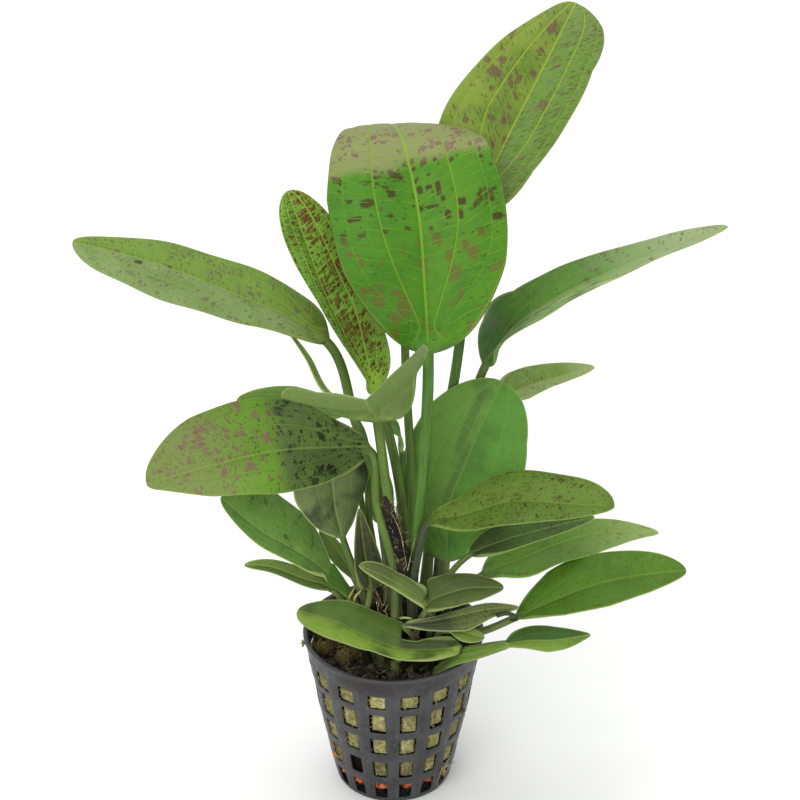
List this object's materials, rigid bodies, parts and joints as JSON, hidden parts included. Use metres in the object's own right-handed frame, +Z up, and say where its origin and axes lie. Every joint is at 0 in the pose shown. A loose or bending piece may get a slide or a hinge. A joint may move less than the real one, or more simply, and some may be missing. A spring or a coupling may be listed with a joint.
{
  "type": "potted aquarium sword plant",
  "caption": "Rosette of broad spotted leaves on long stalks, rooted in mineral wool inside a small tapered net pot.",
  "frame": {"origin": "middle of the underside of the pot's floor", "axes": "+Z up along the pot's axis, -Y towards the side the plant is seen from, +X to the right of that view"},
  "size_m": [0.189, 0.134, 0.2255],
  "materials": {
    "pot_plastic": "satin",
    "clay": "matte",
    "mineral_wool": "matte",
    "soil": "matte",
    "crown_flesh": "matte",
    "leaf_green": "satin"
  },
  "bodies": {
    "root": {"net_pot": "pot_plastic", "clay_layer": "clay", "mineral_wool": "mineral_wool", "soil": "soil", "crown": "crown_flesh", "leaf_top_right": "leaf_green", "leaf_centre": "leaf_green", "leaf_narrow_spotted": "leaf_green", "leaf_far_left": "leaf_green", "leaf_right_long": "leaf_green", "leaf_right_small": "leaf_green", "leaf_standing": "leaf_green", "leaf_spotted_left": "leaf_green", "leaf_toward_left": "leaf_green", "leaf_right_spotted": "leaf_green", "leaf_right_shaded": "leaf_green", "leaf_right_pale": "leaf_green", "leaf_right_low": "leaf_green", "leaf_right_lowest": "leaf_green", "leaf_front_left": "leaf_green", "leaf_front_shoot": "leaf_green", "leaf_left_back": "leaf_green", "leaf_left_low": "leaf_green", "leaf_mid_left": "leaf_green", "leaf_mid_right": "leaf_green", "leaf_low_mottled": "leaf_green", "leaf_small_curled": "leaf_green", "leaf_rim_young": "leaf_green", "leaf_left_tucked": "leaf_green", "leaf_left_shadow": "leaf_green", "leaf_left_dark": "leaf_green", "leaf_behind_left": "leaf_green", "leaf_behind_low": "leaf_green", "leaf_behind_centre": "leaf_green", "leaf_spear": "leaf_green"}
  },
  "joints": []
}
